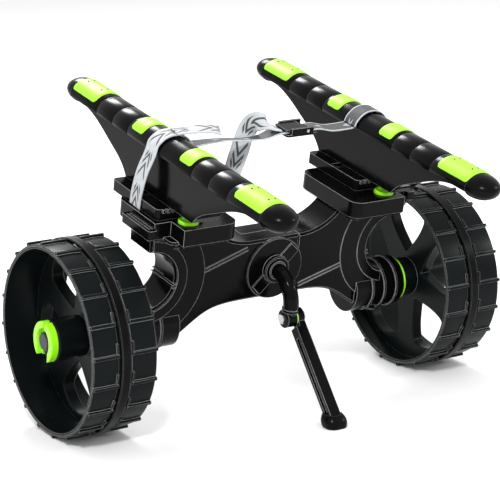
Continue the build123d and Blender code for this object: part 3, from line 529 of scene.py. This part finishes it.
def smooth_route(points, steps):
    """Even samples (x, y, z, turn) of a smooth line through the points, and its length."""
    fine = []
    for index in range(len(points) - 1):
        p = [Vector(points[min(max(index + k, 0), len(points) - 1)]) for k in (-1, 0, 1, 2)]
        for part in range(16):
            t = part / 16
            fine.append(0.5 * (2 * p[1] + (p[2] - p[0]) * t + (2 * p[0] - 5 * p[1] + 4 * p[2]
                        - p[3]) * t * t + (3 * p[1] - p[0] - 3 * p[2] + p[3]) * t ** 3))
    fine.append(Vector(points[-1]))
    runs = [0.0]
    for a, b in zip(fine, fine[1:]):
        runs.append(runs[-1] + (b.xyz - a.xyz).length)
    out, here = [], 0
    for index in range(steps + 1):
        want = runs[-1] * index / steps
        while here < len(fine) - 2 and runs[here + 1] < want:
            here += 1
        share = (want - runs[here]) / max(runs[here + 1] - runs[here], 1e-9)
        out.append(fine[here].lerp(fine[here + 1], share))
    return out, runs[-1]


def strap(name, points, body, stands_for, start=0.0, finish=WEBBING):
    """Webbing along points (x, y, z, turn in degrees); start shifts the printed pattern."""
    steps = 90
    line, length = smooth_route(points, steps)
    bm = bmesh.new()
    uv = bm.loops.layers.uv.new("strap")
    bmesh.ops.create_grid(bm, x_segments=8, y_segments=steps, size=1.0)
    rows = {}
    for vert in bm.verts:
        rows[vert] = (vert.co.x * 0.5, round((vert.co.y + 1) / 2 * steps))
    for face in bm.faces:
        for loop in face.loops:
            across, row = rows[loop.vert]
            loop[uv].uv = (across + 0.5, start + row / steps * length / STRAP_W)
    for vert, (across, row) in rows.items():
        here = line[row]
        ahead = (line[min(row + 1, steps)] - line[max(row - 1, 0)]).xyz.normalized()
        wide = Vector((0, cos(radians(here.w)), sin(radians(here.w))))
        wide = (wide - ahead * wide.dot(ahead)).normalized()
        vert.co = here.xyz + wide * across * STRAP_W
    made = piece(name, bm, LEANT, finish, body, stands_for)
    add_wall(made, STRAP_T, 0.0)
    print(name, "flat", STRAP_W, "x", round(length, 1), "mm")
    return made, (STRAP_W * MM, length * MM)


for side_name, side in SIDES.items():
    over = [(191.5, 21, 158.6, 0), (190.5, 20, 178, 0), (187, 17, 205, 0), (181, 13, 228, 0),
            (179.4, 12, 235, 0), (176.2, 12, 246, 0), (166.3, 11, 254.8, 0), (153, 10, 257.8, 0),
            (139.7, 10, 254.8, 0), (129.8, 10, 246, 0), (126.4, 10, 238, 0)]
    points = [(side * x, y if side < 0 else 10, z, turn) for x, y, z, turn in over]
    loop, flat = strap("strap_over_pad_" + side_name, points, None, ["strap_loop_" + side_name],
                       finish=WEBBING if side < 0 else WEBBING_DARK)
    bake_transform(loop)

# %% Straps to the buckle
left, flat = strap("webbing_span_left", [(-124.6, 10, 237, 0), (-118, 10, 238.5, -4),
                   (-82, 9, 239.5, -12), (-36, 9, 235.5, -12), (-14, 9, 236, -8),
                   (6, 10, 241.3, 0), (20, 10, 241.5, 0)], None, ["strap_span_left"], start=0.7,
                   finish=WEBBING_DARK)
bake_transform(left)
right, flat = strap("webbing_span_right", [(124.6, 10, 237, 0), (117, 10, 236.4, 0),
                    (92, 10, 236.4, 0), (70, 10, 241.3, 0), (57, 10, 241.5, 0)],
                    None, ["strap_span_right"], start=0.2,
                    finish=WEBBING_DARK)
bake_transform(right)

# %% Free ends
tail, flat = strap("webbing_free_tail", [
    (-152, 6, 260.2, 0), (-138, 4, 261, 0), (-122, 1, 262, 4), (-106, -3, 262.4, 8),
    (-93, -8, 260.6, 12)], "pad_left", ["strap_tail"], start=0.4)
hanging, flat = strap("webbing_hanging_end", [
    (10, 12, 244.4, 0), (0, 13, 247.5, 8), (-10, 18, 252, 36), (-18, 28, 250, 72),
    (-25, 33, 233, 84), (-34, 31, 206, 66), (-46, 27, 176, 40), (-58, 24, 145, 24),
    (-65, 24, 120, 14)], "root", ["strap_end"], start=0.9)

# %% [markdown]
# ## Studio
# The floor and the world are pale, so the picture has a white ground, and three soft lamps put
# highlights on the gloss. The Standard view keeps blacks deep and the lime bright.

# %% Floor, world and lamps
FLOOR_SIZE = 60
bpy.ops.mesh.primitive_plane_add(size=FLOOR_SIZE)
floor = bpy.context.object
floor.name = "studio_floor"
paper = Shader("studio_paper")
floor.data.materials.append(paper.finish(Base_Color=(0.9, 0.9, 0.9, 1), Roughness=0.9))
world = bpy.data.worlds.new("studio")
world.use_nodes = True
world.node_tree.nodes["Background"].inputs["Color"].default_value = (1, 1, 1, 1)
world.node_tree.nodes["Background"].inputs["Strength"].default_value = 1.0
bpy.context.scene.world = world
bpy.context.scene.view_settings.view_transform = "Standard"


def lamp(name, place, aim, size, power):
    """A square soft box that looks at a point."""
    light = bpy.data.objects.new(name, bpy.data.lights.new(name, "AREA"))
    light.data.size, light.data.energy = size, power
    light.location = place
    light.rotation_euler = (Vector(place) - Vector(aim)).to_track_quat("Z", "Y").to_euler()
    bpy.context.scene.collection.objects.link(light)


lamp("key", (-1.6, -1.8, 2.4), (0, 0, 0.2), 0.35, 60)
lamp("fill", (2.2, -1.4, 1.3), (0, 0, 0.2), 0.4, 14)
lamp("back", (0.6, 2.4, 2.2), (0, 0, 0.2), 0.8, 60)
